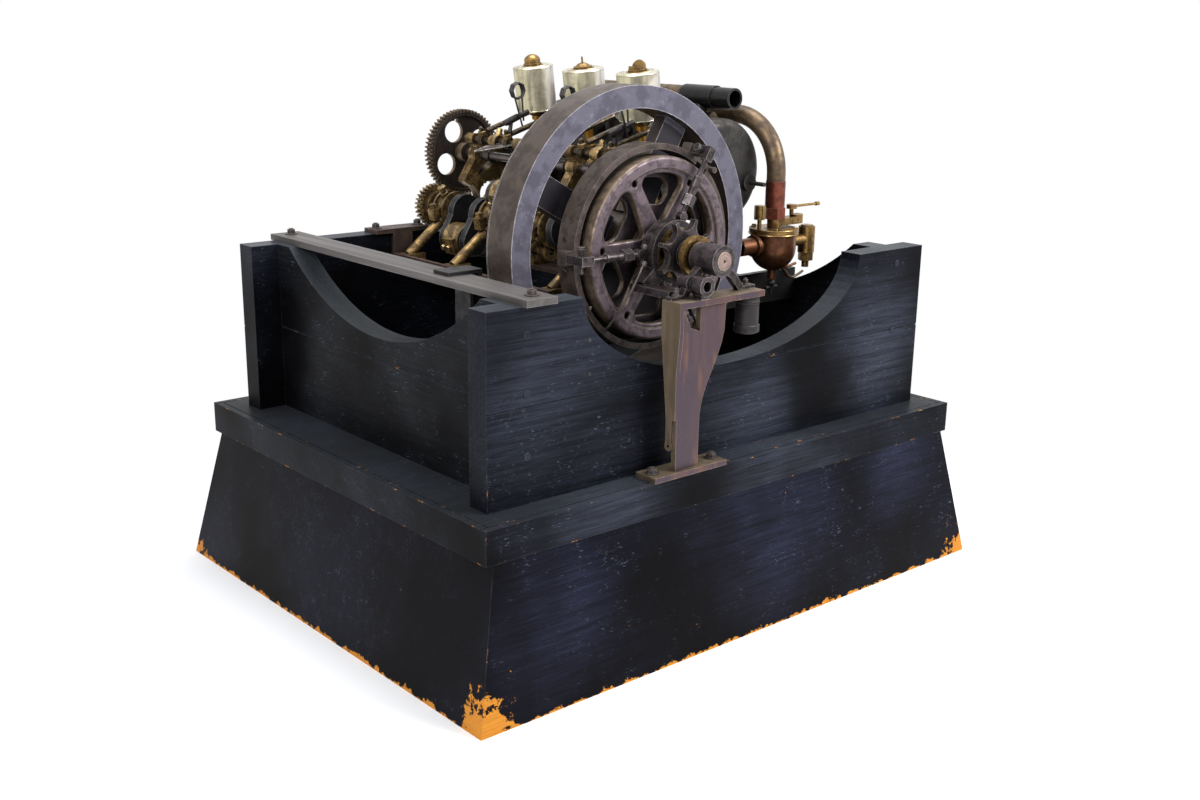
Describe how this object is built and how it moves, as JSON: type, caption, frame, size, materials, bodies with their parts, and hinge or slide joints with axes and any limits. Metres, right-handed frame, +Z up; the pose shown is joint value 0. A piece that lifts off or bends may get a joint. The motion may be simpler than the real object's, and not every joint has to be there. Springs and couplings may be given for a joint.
{
  "type": "automobile engine",
  "caption": "Antique inclined in-line automobile engine with open crank, spoked flywheel, band clutch, float carburettor and oilers, on a black wooden stand.",
  "frame": {"origin": "middle of the stand's footprint, on the floor", "axes": "+X along the long clutch side towards the cylinder heads, +Y from the clutch side to the gear side, +Z up"},
  "size_m": [1.178, 0.938, 0.938],
  "materials": {
    "painted_wood": "black paint, satin, worn at the edges",
    "bar_iron": "dusty grey, dull",
    "dark_iron": "blackened, dull",
    "rusty_iron": "brown patina, satin",
    "bronze": "cast bronze with green-brown patina",
    "brass": "aged brass, satin",
    "bright_steel": "turned steel, satin",
    "clutch_iron": "oiled cast iron, satin",
    "grey_iron": "cast, dull",
    "tin": "tinned sheet, satin",
    "copper": "copper with brown patina, satin"
  },
  "bodies": {
    "stand": {"plinth_boards": "painted_wood", "stand_slab": "painted_wood", "wall_front": "painted_wood", "wall_back": "painted_wood", "wall_left": "painted_wood", "wall_right": "painted_wood", "side_bar": "bar_iron", "bar_clamp": "dark_iron", "hanger_rails": "rusty_iron", "cross_bar": "dark_iron", "frame_bolts": "dark_iron", "bearing_frame_1": "bronze", "bearing_frame_2": "bronze", "bearing_frame_3": "bronze", "bearing_frame_4": "bronze", "bearing_caps": "bronze", "cylinder_bed": "grey_iron", "cylinder_1": "grey_iron", "cylinder_2": "grey_iron", "cylinder_3": "grey_iron", "igniters": "grey_iron", "valve_gear": "bronze", "valve_springs": "dark_iron", "oiler_1": "tin", "oiler_2": "tin", "oiler_3": "tin", "exhaust_manifold": "dark_iron", "exhaust_outlet": "dark_iron", "intake_manifold": "copper", "intake_union": "copper", "float_bowl": "copper", "carburettor_lid": "brass", "fuel_elbow": "brass", "clutch_band": "dark_iron", "band_rods": "clutch_iron", "control_ring": "clutch_iron", "outboard_bearing": "clutch_iron", "control_tube": "clutch_iron", "bearing_bracket": "rusty_iron"},
    "crank": {"crankshaft": "dark_iron", "flywheel": "bright_steel", "crank_pinion": "bronze", "shaft_collars": "copper"},
    "cam": {"camshaft": "bright_steel", "cam_gear": "dark_iron"},
    "clutch": {"clutch_drum": "clutch_iron"},
    "shift_star": {"shift_spider": "clutch_iron"},
    "throttle": {"throttle_lever": "brass"},
    "needle": {"needle_knob": "brass"},
    "drain": {"drain_cock": "dark_iron"},
    "rod_1": {"connecting_rod_1": "bronze"},
    "piston_body_1": {"piston_1": "bright_steel"},
    "cap_1": {"oiler_cap_1": "brass"},
    "rod_2": {"connecting_rod_2": "bronze"},
    "piston_body_2": {"piston_2": "bright_steel"},
    "cap_2": {"oiler_cap_2": "brass"},
    "rod_3": {"connecting_rod_3": "bronze"},
    "piston_body_3": {"piston_3": "bright_steel"},
    "cap_3": {"oiler_cap_3": "brass"}
  },
  "joints": [
    {"name": "crank_turn", "type": "hinge", "parent": "stand", "child": "crank", "pos_m": [-0.0917, 0, 0.6435], "axis": [0, 1, 0], "continuous": true},
    {"name": "cam_turn", "type": "hinge", "parent": "stand", "child": "cam", "pos_m": [-0.02553, 0, 0.7454], "axis": [0, 1, 0], "continuous": true},
    {"name": "rod_turn_1", "type": "hinge", "parent": "crank", "child": "rod_1", "pos_m": [-0.1197, 0.226, 0.595], "axis": [0, 1, 0], "continuous": true},
    {"name": "piston_slide_1", "type": "slide", "parent": "stand", "child": "piston_body_1", "axis": [0.9563, 0, 0.2924], "range_m": [-0.015, 0.097]},
    {"name": "oiler_cap_turn_1", "type": "hinge", "parent": "stand", "child": "cap_1", "pos_m": [0.04811, 0.226, 0.92356], "axis": [-0.1357, 0, 0.9907], "continuous": true},
    {"name": "rod_turn_2", "type": "hinge", "parent": "crank", "child": "rod_2", "pos_m": [-0.1197, 0.076, 0.692], "axis": [0, 1, 0], "continuous": true},
    {"name": "piston_slide_2", "type": "slide", "parent": "stand", "child": "piston_body_2", "axis": [0.9563, 0, 0.2924], "range_m": [-0.0434, 0.0686]},
    {"name": "oiler_cap_turn_2", "type": "hinge", "parent": "stand", "child": "cap_2", "pos_m": [0.04811, 0.076, 0.92356], "axis": [-0.1357, 0, 0.9907], "continuous": true},
    {"name": "rod_turn_3", "type": "hinge", "parent": "crank", "child": "rod_3", "pos_m": [-0.0357, -0.074, 0.6435], "axis": [0, 1, 0], "continuous": true},
    {"name": "piston_slide_3", "type": "slide", "parent": "stand", "child": "piston_body_3", "axis": [0.9563, 0, 0.2924], "range_m": [-0.1096, 0.0024]},
    {"name": "oiler_cap_turn_3", "type": "hinge", "parent": "stand", "child": "cap_3", "pos_m": [0.04811, -0.074, 0.92356], "axis": [-0.1357, 0, 0.9907], "continuous": true},
    {"name": "clutch_turn", "type": "hinge", "parent": "crank", "child": "clutch", "pos_m": [-0.0917, 0, 0.6435], "axis": [0, 1, 0], "continuous": true},
    {"name": "shift_slide", "type": "slide", "parent": "crank", "child": "shift_star", "axis": [0, 1, 0], "range_m": [-0.005, 0.008]},
    {"name": "throttle_turn", "type": "hinge", "parent": "stand", "child": "throttle", "pos_m": [0.348, -0.187, 0.66], "axis": [0, 0, 1], "range_deg": [0, 80]},
    {"name": "needle_turn", "type": "hinge", "parent": "stand", "child": "needle", "pos_m": [0.26, -0.187, 0.65], "axis": [0, 0, 1], "continuous": true},
    {"name": "drain_turn", "type": "hinge", "parent": "stand", "child": "drain", "pos_m": [0.3, -0.187, 0.52], "axis": [0, 0, 1], "range_deg": [0, 90]}
  ],
  "couplings": [
    {"joint": "cam_turn", "follows": "crank_turn", "ratio": -0.5},
    {"joint": "rod_turn_1", "follows": "crank_turn", "ratio": -1},
    {"joint": "rod_turn_2", "follows": "crank_turn", "ratio": -1},
    {"joint": "rod_turn_3", "follows": "crank_turn", "ratio": -1}
  ]
}
